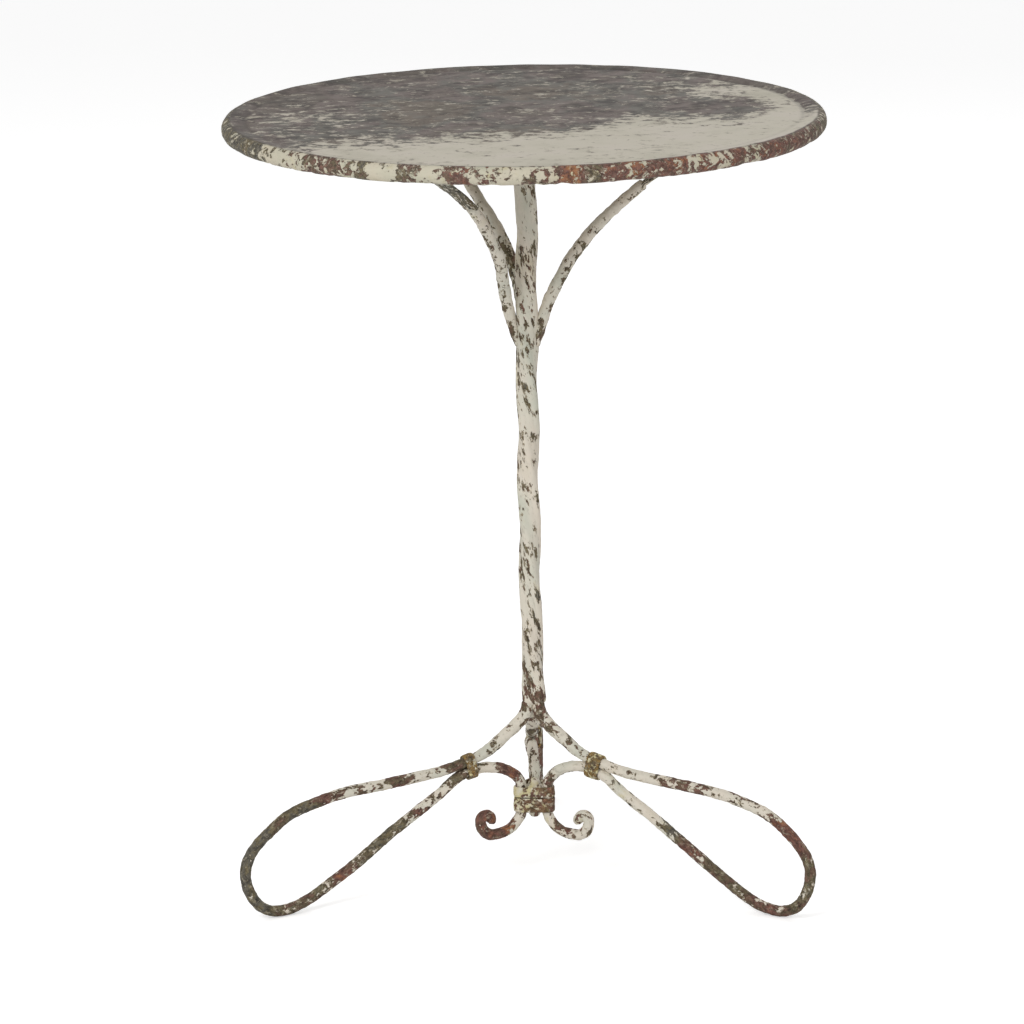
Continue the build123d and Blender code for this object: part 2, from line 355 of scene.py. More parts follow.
class Bench:
    """A material under construction. Each call adds one node and gives back its output."""

    def __init__(self, name):
        self.material = bpy.data.materials.new(name)
        self.material.use_nodes = True
        self.tree = self.material.node_tree
        self.shader = self.tree.nodes["Principled BSDF"]

    def add(self, kind, inputs, out=0, **settings):
        """A node of a kind; each input is another node's output or a plain value."""
        node = self.tree.nodes.new(kind)
        for key, value in settings.items():
            setattr(node, key, value)
        for key, value in inputs.items():
            if isinstance(value, bpy.types.NodeSocket):
                self.tree.links.new(value, node.inputs[key])
            else:
                node.inputs[key].default_value = value
        return node.outputs[out]

    def place(self):
        """Where a point is on the table, in metres."""
        return self.add("ShaderNodeTexCoord", {}, out="Object")

    def note(self, name, out="Fac"):
        """A value kept on the piece's own points."""
        return self.add("ShaderNodeAttribute", {}, attribute_name=name, out=out)

    def stretch(self, vector, scale, shift=(0, 0, 0)):
        """The same place scaled by three factors and moved, to draw a noise out or set it apart."""
        return self.add("ShaderNodeMapping", {"Vector": vector, "Scale": scale, "Location": shift})

    def cloud(self, vector, size_mm, detail=4.0, rough=0.55, twist=0.0):
        """Cloudy noise with blotches about size_mm across."""
        shape = {"Detail": detail, "Roughness": rough, "Distortion": twist}
        return self.add("ShaderNodeTexNoise", {"Vector": vector, "Scale": 1000 / size_mm, **shape})

    def cells(self, vector, size_mm):
        """A random value from 0 to 1, flat across each cell of about size_mm."""
        colour = self.add("ShaderNodeTexVoronoi", {"Vector": vector, "Scale": 1000 / size_mm}, out="Color")
        return self.add("ShaderNodeSeparateColor", {"Color": colour})

    def maths(self, what, a, b):
        """One step of arithmetic on two values: SUBTRACT or MULTIPLY."""
        return self.add("ShaderNodeMath", {0: a, 1: b}, operation=what)

    def raised(self, value, by, base):
        """base + by * value."""
        return self.add("ShaderNodeMath", {0: value, 1: by, 2: base}, operation="MULTIPLY_ADD")

    def swung(self, value, by, base):
        """base + by * (value - 0.5): a noise swung about its middle and laid on a base."""
        return self.raised(self.maths("SUBTRACT", value, 0.5), by, base)

    def between(self, value, low, high, to_low=0.0, to_high=1.0):
        """value carried from low..high to to_low..to_high with an eased step."""
        inputs = {"Value": value, "From Min": low, "From Max": high, "To Min": to_low, "To Max": to_high}
        return self.add("ShaderNodeMapRange", inputs, interpolation_type="SMOOTHSTEP")

    def ramp(self, value, stops):
        """Colours strung along 0..1 as (position, colour) stops."""
        out = self.add("ShaderNodeValToRGB", {"Fac": value})
        band = out.node.color_ramp
        while len(band.elements) < len(stops):
            band.elements.new(0.5)
        for element, (position, colour) in zip(band.elements, stops):
            element.position = position
            element.color = colour
        return out

    def blend(self, amount, a, b, how="MIX"):
        """Colour a carried towards colour b. A Mix node takes colours at its inputs 6 and 7."""
        inputs = {0: amount, 6: a, 7: b}
        return self.add("ShaderNodeMix", inputs, out=2, data_type="RGBA", blend_type=how)

    def finish(self, colour, rough, height, depth=0.001):
        """Join colour, roughness and relief to the shader. height is in units of depth metres."""
        self.tree.links.new(colour, self.shader.inputs["Base Color"])
        self.tree.links.new(rough, self.shader.inputs["Roughness"])
        relief = {"Height": height, "Distance": depth, "Strength": 1.0}
        bump = self.add("ShaderNodeBump", relief, out="Normal")
        self.tree.links.new(bump, self.shader.inputs["Normal"])
        return self.material


# %% Rust
RUST_SHADES = [
    (0.08, tone(106, 102, 92)),
    (0.22, tone(126, 116, 88)),
    (0.36, tone(104, 90, 72)),
    (0.48, tone(126, 98, 82)),
    (0.60, tone(118, 84, 76)),
    (0.74, tone(142, 96, 78)),
    (0.92, tone(170, 118, 78)),
]
GRIT_SHADES = [(0.34, tone(74, 70, 66)), (0.46, tone(188, 184, 178)), (0.56, tone(255, 254, 250))]


def rust(bench, at, warm, ochre=0.0):
    """Old rust and its fine grit. warm runs from cold dark iron at 0 through olive and brown to red-brown
    and orange at 1; ochre is how much yellow earth has settled on it."""
    heat = bench.swung(bench.cloud(at, 22, 4, 0.65), 1.1, warm)
    heat = bench.swung(bench.cloud(at, 7.0, 5, 0.7, 0.6), 1.3, heat)
    body = bench.ramp(heat, RUST_SHADES)
    earth = bench.between(bench.cloud(at, 6.0, 4, 0.6), 0.40, 0.56, 0.0, ochre)
    body = bench.blend(earth, body, tone(166, 134, 74))
    fine = bench.cloud(at, 3.4, 7, 0.80)
    body = bench.blend(0.92, body, bench.ramp(fine, GRIT_SHADES), "MULTIPLY")
    dust = bench.between(bench.cloud(at, 4.4, 6, 0.76, 0.6), 0.55, 0.64, 0.0, 0.72)
    return bench.blend(dust, body, tone(184, 174, 152)), fine


# %% Paint
PAINT_SHADES = [
    (0.30, tone(204, 204, 188)),
    (0.46, tone(220, 214, 198)),
    (0.58, tone(226, 216, 200)),
    (0.72, tone(212, 202, 178)),
]


def coat(bench, at, sallow):
    """Cream paint gone chalky, with grey-green shades, thin dirt, and yellow stain by the sallow share."""
    colour = bench.ramp(bench.cloud(at, 30, 3, 0.5), PAINT_SHADES)
    clear = 0.66 - 0.30 * sallow
    stain = bench.between(bench.cloud(at, 13, 4, 0.6), clear, clear + 0.20, 0.0, 0.85)
    colour = bench.blend(stain, colour, tone(206, 194, 138))
    dirt = bench.between(bench.cloud(at, 3.0, 5, 0.7), 0.54, 0.72, 0.0, 0.42)
    return bench.blend(dirt, colour, tone(146, 138, 120))


# %% Flaked iron
CHIP_BEND = 4.2 * MM
SPECK_SHARE = 0.42


def flaked_iron(name, cloud_mm=8.0, chip_mm=3.8, sallow=0.2, ochre=0.0):
    """Paint over rust, chipped in angular flakes; reads the piece's grain, cover and warm notes."""
    bench = Bench(name)
    at = bench.note("grain", "Vector")
    wobble = bench.add("ShaderNodeTexNoise", {"Vector": at, "Scale": 330.0, "Detail": 3.0}, out="Color")
    spread = bench.add("ShaderNodeVectorMath", {0: wobble, 1: (0.5, 0.5, 0.5)}, operation="SUBTRACT")
    moved = {0: spread, 1: (CHIP_BEND, CHIP_BEND, CHIP_BEND), 2: at}
    bent = bench.add("ShaderNodeVectorMath", moved, operation="MULTIPLY_ADD")
    field = bench.swung(bench.cloud(at, cloud_mm, 4, 0.6), 2.0, bench.note("cover"))
    field = bench.swung(bench.cells(bent, chip_mm), 0.44, field)
    field = bench.swung(bench.cells(bent, chip_mm * SPECK_SHARE), 0.20, field)
    left = bench.between(field, 0.475, 0.50)
    iron, grit = rust(bench, at, bench.note("warm"), ochre)
    unstained = bench.between(field, 0.49, 0.58)
    paint = bench.blend(unstained, tone(160, 144, 114), coat(bench, at, sallow))
    lip = bench.maths("SUBTRACT", bench.between(field, 0.455, 0.475), left)
    under = bench.blend(bench.maths("MULTIPLY", lip, 0.6), iron, tone(58, 48, 40))
    colour = bench.blend(left, under, paint)
    rough = bench.between(left, 0, 1, 0.88, 0.56)
    pocks = bench.cloud(at, 2.4, 5, 0.7)
    texture = bench.maths("MULTIPLY", bench.blend(left, grit, pocks), 0.50)
    return bench.finish(colour, rough, bench.raised(left, 0.36, texture))


stem_finish = flaked_iron("paint on the stem", cloud_mm=7.0, chip_mm=3.4, sallow=0.1)
leg_finish = flaked_iron("paint on the legs")
branch_finish = flaked_iron("paint on the branches", cloud_mm=6.0, chip_mm=3.0, sallow=0.1)
hub_finish = flaked_iron("paint on the hub", cloud_mm=5.0, chip_mm=2.6, sallow=0.9, ochre=0.25)
collar_finish = flaked_iron("paint on the collars", cloud_mm=5.0, chip_mm=2.8, sallow=1.0, ochre=0.75)
print("finishes:", [m.name for m in bpy.data.materials if "paint" in m.name])


def dressed(piece, finish, slot, *nodes):
    """Give a piece its finish and hide the model nodes it stands for."""
    piece.data.materials.append(finish)
    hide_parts(*nodes)


# %% [markdown]
# ## The stem
#
# Three round rods are twisted together hot, a little under two turns, left-handed. Years of paint have
# filled the valleys, so what shows is a slowly turning three-lobed bar. We could sweep three tubes, but
# the filled valleys would be missing; one skin with the outline of three circles and a filler circle is
# closer to the real surface.

# %% Stem
STEM_BEND = [(165, 1.2), (205, 1.2), (245, -0.8), (400, -1.0), (520, -0.5), (660, 0.8), (745, 0.8)]
STEM_COVER = [
    (165, 0.60), (173, 0.42), (178, 0.25), (184, 0.42), (196, 0.60), (215, 0.70), (232, 0.72),
    (262, 0.90), (290, 0.84), (312, 0.72), (332, 0.80), (352, 0.96), (400, 0.94), (420, 0.82),
    (452, 0.80), (478, 0.72), (508, 0.70), (524, 0.84), (540, 0.78), (575, 0.76), (604, 0.80),
    (636, 0.96), (680, 1.06), (742, 1.02),
]
STEM_WORN_SIDE = [
    (165, 20), (215, 20), (260, -60), (300, 170), (420, 185), (520, 180), (560, 200), (600, 320),
    (742, 340),
]
STEM_WORN = 0.13
STEM_WARM = [(165, 0.42), (210, 0.45), (300, 0.38), (500, 0.32), (600, 0.46), (742, 0.4)]
STEM_AROUND = 60
ROD = 10.4 * MM
STRAND_OFFSET = 6.05 * MM
TWIST_PITCH = 290.0 * MM
FOOT_Z = 176.0 * MM
FOOT_NOSE = 7.0 * MM
FOOT_SWELL = 1.1 * MM
WELD_SWELL = 0.8 * MM
WELD_Z = 527.0 * MM
VALLEY_FILL = 9.0 * MM
VALLEY_BLEND = 0.35 * MM
STEM_RING_GRAIN = 11.0 * MM
STEM_GRAIN = 0.42
stem_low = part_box("strand_left")[0][2] - FOOT_NOSE
stem_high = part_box("strand_left")[1][2]


def stem():
    """Outline at each height: for angle d from a lobe, offset*cos d + sqrt(r^2 - offset^2 sin^2 d),
    never less than the paint that fills the valley, turned by -2 pi z / pitch."""
    z = np.append(np.arange(stem_low, stem_high, 1.5 * MM), stem_high)[:, None]
    a = np.linspace(0, 2 * np.pi, STEM_AROUND, endpoint=False)[None, :]
    twist = -2 * np.pi * (z - FOOT_Z) / TWIST_PITCH
    lobe = (a - twist - np.pi / 2 + np.pi / 3) % (2 * np.pi / 3) - np.pi / 3
    bulge = np.sqrt(np.clip((ROD / 2) ** 2 - (STRAND_OFFSET * np.sin(lobe)) ** 2, 0, None))
    lobes = STRAND_OFFSET * np.cos(lobe) + bulge
    radius = VALLEY_BLEND * np.logaddexp(lobes / VALLEY_BLEND, VALLEY_FILL / VALLEY_BLEND)
    radius = radius + FOOT_SWELL * (1 - eased(z, 0.188, 0.204)) * eased(z, 0.166, 0.176)
    radius = radius + WELD_SWELL * np.exp(-(((z - WELD_Z) / 0.012) ** 2))
    nose = np.clip((z - stem_low) / FOOT_NOSE, 0.02, 1)
    radius = radius * np.sqrt(np.clip(1 - (1 - nose) ** 2, 0, 1))
    even = spun(radius, a, z)
    radius = radius + 0.28 * MM * lumps(even, 0.022, 5) + 0.16 * MM * lumps(even, 0.007, 6)
    grid = spun(radius, a, z)
    height_mm = (z + 0 * a) / MM
    grid[..., 0] += told(STEM_BEND, height_mm) * MM
    unwound = a - twist
    pattern = spun(STEM_RING_GRAIN, unwound, z * STEM_GRAIN)
    wavered = height_mm + 5 * lumps(grid, 0.014, 7)
    worn_side = np.radians(told(STEM_WORN_SIDE, height_mm))
    paint = told(STEM_COVER, wavered) - STEM_WORN * np.cos(a - worn_side)
    cover = COVER_LEAST + COVER_SPAN * paint
    return skin("stem", grid, {"grain": pattern, "cover": cover, "warm": told(STEM_WARM, wavered)})


dressed(stem(), stem_finish, "flaked_iron", "strand_left", "strand_right", "strand_back")

# %% [markdown]
# ## The branches and their tabs
#
# Each branch is a rod forged to a tongue at its root and welded flat to the stem. It leans out like a
# stalk and ends under the top, where a flat tab carries on in line with it and bends level under the
# sheet. The tongue is the same sweep made thinner, and the tab is a sweep with a squared ring.

# %% Branches
BRANCH_STATIONS = [
    (9.4, 524, 84), (15.5, 553, 74), (25.3, 578, 63), (46.7, 613.8, 54), (77.5, 649.3, 43),
    (100, 669.2, 39), (114, 680, 35),
]
BRANCH_THICK = [(0, 4.0), (12, 9.5), (30, 11.6), (110, 11.7), (150, 11.0), (207, 10.4)]
BRANCH_TURNS = {
    "right": [(0, -12), (50, 0), (90, 3)],
    "back": [(0, 102), (44, 106), (84, 112), (111, 117), (145, 122), (170, 123)],
    "left": [
        (0, 180), (30, 184), (45, 207), (61, 222), (86, 234), (99, 238), (112, 240.5), (145, 242),
        (170, 243),
    ],
}
BRANCH_COVER = {
    "right": [
        (0, 0.66), (14, 0.58), (34, 0.86), (60, 0.80), (100, 0.88), (118, 0.78), (140, 0.92), (200, 0.80),
    ],
    "back": [(0, 0.6), (40, 0.62), (80, 0.2), (104, 0.3), (112, 0.86), (200, 0.9)],
    "left": [(0, 0.45), (22, 0.52), (34, 0.96), (80, 0.94), (130, 0.90), (160, 0.94), (205, 0.9)],
}
BRANCH_WARM = [(0, 0.45), (60, 0.32), (200, 0.25)]
BRANCH_WORN_LOW = 0.13
# Painted shade: the left and back tabs keep little paint and every tab's rust is cold and dark, for the
# shadow under the top; the right tab keeps more paint.
TAB_COVER_AND_SHADE = {"right": 0.66, "back": 0.40, "left": 0.30}
TAB_WARM_AND_SHADE = 0.14
TAB_THICK = 4.3
TAB_DEPTH = 2.3


def power(value, exponent):
    """The value raised to an exponent with its sign kept."""
    return np.sign(value) * np.abs(value) ** exponent


def squared(a):
    """A ring squared to a flat bar 3.4 times as wide as thick: cos and sin to the power 0.45."""
    return power(np.cos(a), 0.45), 3.4 * power(np.sin(a), 0.45)


tab_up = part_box("head_plate")[1][2] / MM - TAB_DEPTH
TAB_STATIONS = [(110, 677.2, 35), (150, 702.3, 28), (200, 726, 23), (238, tab_up - 4, 16), (262, tab_up, 0)]
for side, turns in BRANCH_TURNS.items():
    seed = 40 + 10 * len(side)
    branch = rod(
        f"branch_{side}", BRANCH_STATIONS, BRANCH_THICK, turns, BRANCH_COVER[side], BRANCH_WARM, seed,
        blunt=3 * MM, worn_low=BRANCH_WORN_LOW,
    )
    dressed(branch, branch_finish, "flaked_iron", f"branch_{side}")
    azimuth = turns[-1][1]
    tab = rod(
        f"tab_{side}", TAB_STATIONS, TAB_THICK, azimuth, TAB_COVER_AND_SHADE[side], TAB_WARM_AND_SHADE, seed + 5,
        around=40, shape=squared, wander=0.2 * MM, blunt=1.2 * MM,
    )
    dressed(tab, branch_finish, "flaked_iron", f"tab_{side}")

# %% [markdown]
# ## The legs
#
# One rod makes a whole leg. It leaves the stem's foot, passes the collar, runs out along the top of the
# loop, rounds the far bend, touches the floor, comes home along the underside, passes the collar again,
# arches over into the hub and comes out below it. There the two front legs curl into a scroll, one a
# little wider than the other, and the back leg ends plain; its loop is shorter as well. The cover list
# walks along the rod and says how much paint each stretch kept.

# %% Leg lines
COLLAR_OUT = 70.5
COLLAR_UP = 118.0
COLLAR_TILT = 12.0
PAIR_APART = 10.1
HUB_OUT = 14.6
LEG_OUT = 311
BACK_LEG_OUT = 291
CURL_OUT = {"right": 56.6, "left": 54.0}
CURL_REACH = 5.6


def leg_stations(side):
    """The bends of a leg's rod as (out, up, heading), in mm and degrees. Inside the collar the rod's two
    runs lie PAIR_APART apart, one above the other on a line that leans by COLLAR_TILT."""
    lean = math.radians(COLLAR_TILT)
    out = math.cos(lean)
    up = -math.sin(lean)
    high = (COLLAR_OUT + PAIR_APART / 2 * math.sin(lean), COLLAR_UP + PAIR_APART / 2 * math.cos(lean))
    low = (2 * COLLAR_OUT - high[0], 2 * COLLAR_UP - high[1])
    start = [
        (6.05, 175.9, -90), (9.6, 161, -52), (38, 138.6, -37),
        (high[0] - 6 * out, high[1] - 6 * up, -16), (high[0] + 6 * out, high[1] + 6 * up, -12),
        (110, 116.3, -5), (161, 113.5, -3), (228, 108.0, -13),
    ]
    far_bend = [(277.5, 90.5, -36), (LEG_OUT, 46, -90), (301, 17, -128), (270.5, 5.3, -184)]
    if side == "back":
        far_bend = [(265, 90.5, -41), (BACK_LEG_OUT, 47, -90), (285, 18, -124), (266, 5.3, -184)]
    home = [
        (224, 22.5, -211), (151, 67.0, -212), (104, 95.0, -211),
        (low[0] + 6 * out, low[1] + 6 * up, -192), (low[0] - 6 * out, low[1] - 6 * up, -189),
        (38, 111.5, -164), (22, 102.5, -137), (HUB_OUT, 89.6, -90),
    ]
    if side == "back":
        return start + far_bend + home + [(HUB_OUT, 52, -90)]
    curl = CURL_OUT[side]
    scroll = [
        (HUB_OUT, 65, -90), (23.5, 51.5, -43), (curl - 8.5, 45.5, 0), (curl + CURL_REACH, 60.6, 90),
        (curl, 60.6 + CURL_REACH, 180), (curl - 5.5, 61.4, 262), (curl - 4.4, 56.6, 300),
    ]
    return start + far_bend + home + scroll


# %% Legs
LEFT_COVER = [
    (0, 0.45), (12, 0.55), (24, 0.82), (70, 0.84), (80, 0.62), (92, 0.40), (96, 0.02), (116, 0.0),
    (121, 0.86), (158, 0.74), (161, 0.05), (176, 0.05), (180, 0.90), (198, 0.80), (203, 0.66),
    (238, 0.70), (243, 0.20), (252, 0.06), (290, 0.0), (420, 0.0), (440, 0.12), (462, 0.14), (466, 0.34),
    (478, 0.34), (482, 0.04), (500, 0.04), (504, 0.30), (508, 0.12), (560, 0.08), (566, 0.10),
    (569, 0.62), (575, 0.60), (579, 0.38), (598, 0.44), (602, 0.78), (626, 0.70), (630, 0.10),
    (645, 0.10), (654, 0.50), (668, 0.88), (678, 0.80), (683, 0.02), (708, 0.0), (714, 0.45), (735, 0.45),
    (742, 0.62), (764, 0.60), (770, 0.16), (800, 0.05), (815, 0.22), (832, 0.40),
]
RIGHT_COVER = [
    (0, 0.42), (20, 0.50), (32, 0.74), (60, 0.66), (76, 0.74), (86, 0.40), (94, 0.70), (104, 0.97),
    (158, 0.95), (164, 0.62), (182, 0.50), (188, 0.14), (210, 0.10), (215, 0.78), (284, 0.74),
    (290, 0.50), (296, 0.02), (330, 0.02), (338, 0.26), (344, 0.02), (424, 0.02), (434, 0.30),
    (454, 0.28), (460, 0.04), (536, 0.06), (548, 0.42), (560, 0.50), (574, 0.93), (636, 0.95),
    (650, 0.80), (660, 0.90), (684, 0.84), (694, 0.50), (712, 0.36), (724, 0.66), (732, 0.84),
    (752, 0.80), (768, 0.34), (784, 0.40), (790, 0.90), (830, 0.84),
]
BACK_COVER = [
    (0, 0.4), (20, 0.6), (60, 0.75), (90, 0.5), (120, 0.8), (160, 0.3), (200, 0.75), (250, 0.1),
    (420, 0.05), (470, 0.4), (500, 0.1), (560, 0.2), (600, 0.8), (640, 0.6), (680, 0.75), (720, 0.6),
    (790, 0.3),
]
LEG_THICK = [
    (0, 11.4), (14, 12.6), (48, 12.4), (72, 10.8), (90, 10.2), (110, 10.4), (160, 10.8), (330, 10.6),
    (470, 10.6), (590, 10.8), (640, 10.4), (720, 10.6), (770, 10.2), (795, 10.8), (818, 11.2),
    (850, 11.4),
]
LEFT_WARM = [
    (0, 0.5), (80, 0.35), (160, 0.45), (240, 0.5), (262, 0.28), (290, 0.22), (330, 0.10), (400, 0.06),
    (424, 0.5), (438, 0.35), (480, 0.3), (484, 0.66), (500, 0.6), (512, 0.3), (560, 0.25), (580, 0.45),
    (640, 0.35), (660, 0.3), (676, 0.66), (712, 0.6), (740, 0.4), (765, 0.72), (830, 0.62),
]
RIGHT_WARM = [
    (0, 0.55), (80, 0.3), (160, 0.35), (200, 0.5), (288, 0.4), (298, 0.66), (330, 0.6), (350, 0.4),
    (400, 0.35), (424, 0.55), (444, 0.4), (500, 0.45), (530, 0.6), (548, 0.15), (600, 0.1), (690, 0.3),
    (740, 0.5), (765, 0.45), (808, 0.5),
]
BACK_TURN = [
    (0, 90), (20, 93), (80, 92), (100, 90), (140, 89.2), (500, 89.2), (560, 90.5), (620, 93), (670, 91),
    (700, 90),
]
LEG_AZIMUTH = {"left": 207.6, "right": 326.5, "back": 90.0}
LEG_NOTES = {
    "left": (207.6, LEFT_COVER, LEFT_WARM),
    "right": (326.5, RIGHT_COVER, RIGHT_WARM),
    "back": (BACK_TURN, BACK_COVER, 0.45),
}
for side, (turns, cover, warm) in LEG_NOTES.items():
    seed = 100 + len(side) * 7
    leg = rod(
        f"leg_{side}", leg_stations(side), LEG_THICK, turns, cover, warm, seed,
        around=28, blunt=4.2 * MM,
    )
    dressed(leg, leg_finish, "flaked_iron", f"leg_{side}")

# %% [markdown]
# ## Bands: collars and hub straps
#
# A band is a flat strip closed round something. Its centre line is a closed outline, and its section a
# flat bar with softened edges. We carry the section round the outline and join the last ring to the first.

# %% Bands
BAND_AROUND = 28


def band(name, outline, across, up, middle, width, thick, cover, warm, seed, left_more=0.0):
    """A strip round a closed outline of (across, up) points; the strip's width lies along the third way.
    Section: a superellipse, cos to the power 0.6 outwards and sin to the power 0.5 along the axis.
    left_more is how much more paint the strip's left side kept than its middle, and its right side less."""
    axis = np.cross(across, up)
    path = middle + outline[:, :1] * across + outline[:, 1:] * up
    way = np.roll(path, -1, axis=0) - np.roll(path, 1, axis=0)
    way /= np.linalg.norm(way, axis=1, keepdims=True)
    outward = np.cross(way, axis)
    a = np.linspace(0, 2 * np.pi, BAND_AROUND, endpoint=False)
    thickness = thick / 2 * power(np.cos(a), 0.6)
    breadth = width / 2 * power(np.sin(a), 0.5)
    grid = path[:, None] + outward[:, None] * thickness[None, :, None] + axis * breadth[None, :, None]
    push = 0.45 * MM * lumps(grid, 0.013, seed) + 0.22 * MM * lumps(grid, 0.005, seed + 1)
    grid = grid + outward[:, None] * push[..., None]
    leaning = cover - left_more * np.clip(grid[..., 0] / (20 * MM), -1, 1)
    notes = {"grain": grid, "cover": leaning, "warm": np.full(grid.shape[:2], warm)}
    return skin(name, grid, notes, closed=True)


def rounded(corners, radius, per=18):
    """A closed outline at `radius` from a convex polygon: an arc at each corner, straight runs between."""
    corners = np.array(corners, float)
    ahead = np.roll(corners, -1, axis=0) - corners
    heading = np.arctan2(ahead[:, 1], ahead[:, 0])
    before = np.roll(heading, 1)
    turn = (heading - before) % (2 * np.pi)
    t = np.linspace(0, 1, per)[None, :]
    a = (before - np.pi / 2)[:, None] + turn[:, None] * t
    arcs = corners[:, None] + radius * np.stack([np.cos(a), np.sin(a)], axis=-1)
    points = np.concatenate([arcs.reshape(-1, 2), arcs[:1, 0]])
    run = run_along(points)
    even = np.linspace(0, run[-1], 120, endpoint=False)
    return np.stack([np.interp(even, run, points[:, k]) for k in (0, 1)], axis=-1)


# %% Collars
COLLAR_WALL = 3.0 * MM
COLLAR_INSIDE = 5.0 * MM
COLLAR_LONG = {"left": 10.5 * MM, "right": 15.0 * MM, "back": 14.0 * MM}
COLLAR_COVER = {"left": 0.22, "right": 0.40, "back": 0.50}
COLLAR_WARM = 0.36
WAIST = 0.10
lean = math.radians(COLLAR_TILT)
for side, azimuth in LEG_AZIMUTH.items():
    turn = math.radians(azimuth)
    outward = np.array([math.cos(turn), math.sin(turn), 0])
    sideways = np.array([-math.sin(turn), math.cos(turn), 0])
    stack = outward * math.sin(lean) + np.array([0, 0, math.cos(lean)])
    middle = outward * COLLAR_OUT * MM + np.array([0, 0, COLLAR_UP * MM])
    half = PAIR_APART / 2 * MM
    hair = 0.01 * MM
    corners = [(-hair, -half), (hair, -half), (hair, half), (-hair, half)]
    outline = rounded(corners, COLLAR_INSIDE + COLLAR_WALL / 2)
    outline[:, 0] *= 1 - WAIST * np.exp(-((outline[:, 1] / (2.2 * MM)) ** 2))
    collar = band(
        f"collar_{side}", outline, sideways, stack, middle, COLLAR_LONG[side], COLLAR_WALL,
        COLLAR_COVER[side], COLLAR_WARM, 200 + len(side),
    )
    dressed(collar, collar_finish, "flaked_iron", f"collar_{side}")

# %% Hub straps
STRAP_THICK = 2.5 * MM
STRAP_INSIDE = 5.1 * MM
STRAP_PROUD = 0.8 * MM
STRAP_COVER = {"hub_strap_lower": 0.34, "hub_strap_upper": 0.48}
STRAP_WARM = 0.50
STRAP_LEFT_MORE = 0.26
EAST = np.array([1.0, 0, 0])
NORTH = np.array([0, 1.0, 0])
spokes = np.radians(sorted(LEG_AZIMUTH.values()))
hub_corners = HUB_OUT * MM * np.stack([np.cos(spokes), np.sin(spokes)], axis=-1)
for node, cover in STRAP_COVER.items():
    low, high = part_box(node)
    outline = rounded(hub_corners, STRAP_INSIDE + STRAP_THICK / 2)
    middle = np.array([0, 0, (low[2] + high[2]) / 2])
    wide = high[2] - low[2] + STRAP_PROUD
    strap = band(
        node, outline, EAST, NORTH, middle, wide, STRAP_THICK, cover, STRAP_WARM, 230 + len(node),
        left_more=STRAP_LEFT_MORE,
    )
    dressed(strap, hub_finish, "flaked_iron", node)

# %% Hub core
CORE_COVER = 0.72
CORE_WARM = 0.6
core_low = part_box("hub_core")[0][2] / MM
core_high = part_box("hub_core")[1][2] / MM
CORE = [
    (0.2, core_low), (8.2, core_low), (9.4, core_low + 1.2), (9.4, 87.5), (8.6, 88.6), (6.4, 89.6),
    (6.0, 91.6), (4.8, 93.8), (2.6, core_high - 0.6), (0.2, core_high - 0.2),
]


def core():
    """The (radius, height) points of CORE spun round the stem's axis, slightly uneven."""
    table = np.array(CORE, float) * MM
    run = run_along(table)
    even = np.linspace(0, run[-1], 60)
    r = np.interp(even, run, table[:, 0])[:, None]
    z = np.interp(even, run, table[:, 1])[:, None]
    a = np.linspace(0, 2 * np.pi, 48, endpoint=False)[None, :]
    grid = spun(r, a, z)
    grid[..., :2] *= (1 + 0.03 * lumps(grid, 0.01, 260))[..., None]
    shape = grid.shape[:2]
    notes = {"grain": grid, "cover": np.full(shape, CORE_COVER), "warm": np.full(shape, CORE_WARM)}
    return skin("hub_core", grid, notes)


dressed(core(), hub_finish, "flaked_iron", "hub_core")

# %% [markdown]
# ## The top
#
# The top is a disc of thin sheet. Its edge is rolled up over a wire, stands a little proud of the flat,
# and is turned under, where rust has eaten the hem ragged. We spin the section, then let the rim wander
# by a fraction of a millimetre and nibble the hem. Notes go with it: where the rolled rim is, how much
# paint the flat and the rim kept, how warm the rust is, and where shade is painted dark, with a little
# grime, along the crest, in the inner groove and on the shoulder at the back and sides.

# %% Section of the top
TOP_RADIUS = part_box("top_sheet")[1][0] / MM
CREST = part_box("top_sheet")[1][2] / MM
HEM_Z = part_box("top_sheet")[0][2] / MM
FLAT_Z = 748.0
SHEET = 1.6
BEAD = TOP_RADIUS - 22.0
TOP_SECTION = [
    (0.3, FLAT_Z), (BEAD - 8, FLAT_Z), (BEAD - 3.5, FLAT_Z - 0.1), (BEAD - 1, FLAT_Z - 0.6),
    (BEAD + 1.5, FLAT_Z - 0.1), (TOP_RADIUS - 16.5, FLAT_Z + 0.9), (TOP_RADIUS - 12.5, CREST - 0.5),
    (TOP_RADIUS - 8.0, CREST), (TOP_RADIUS - 5.4, CREST - 0.5), (TOP_RADIUS - 3.0, CREST - 2.2),
    (TOP_RADIUS - 1.0, CREST - 5.2), (TOP_RADIUS - 0.2, CREST - 8.6), (TOP_RADIUS - 0.5, CREST - 12.0),
    (TOP_RADIUS - 2.6, HEM_Z + 1.9), (TOP_RADIUS - 6.0, HEM_Z + 0.1), (TOP_RADIUS - 9.5, HEM_Z + 0.1),
    (TOP_RADIUS - 12.0, HEM_Z + 0.4), (TOP_RADIUS - 12.2, HEM_Z + 1.8), (TOP_RADIUS - 9.0, HEM_Z + 1.8),
    (TOP_RADIUS - 5.6, HEM_Z + 2.4), (TOP_RADIUS - 2.9, CREST - 11.5), (TOP_RADIUS - 2.2, CREST - 8.4),
    (TOP_RADIUS - 3.6, CREST - 4.8), (TOP_RADIUS - 6.6, CREST - 2.4), (TOP_RADIUS - 10.0, CREST - 1.8),
    (TOP_RADIUS - 17.5, FLAT_Z - SHEET + 0.1), (BEAD - 5, FLAT_Z - SHEET), (0.3, FLAT_Z - SHEET),
]


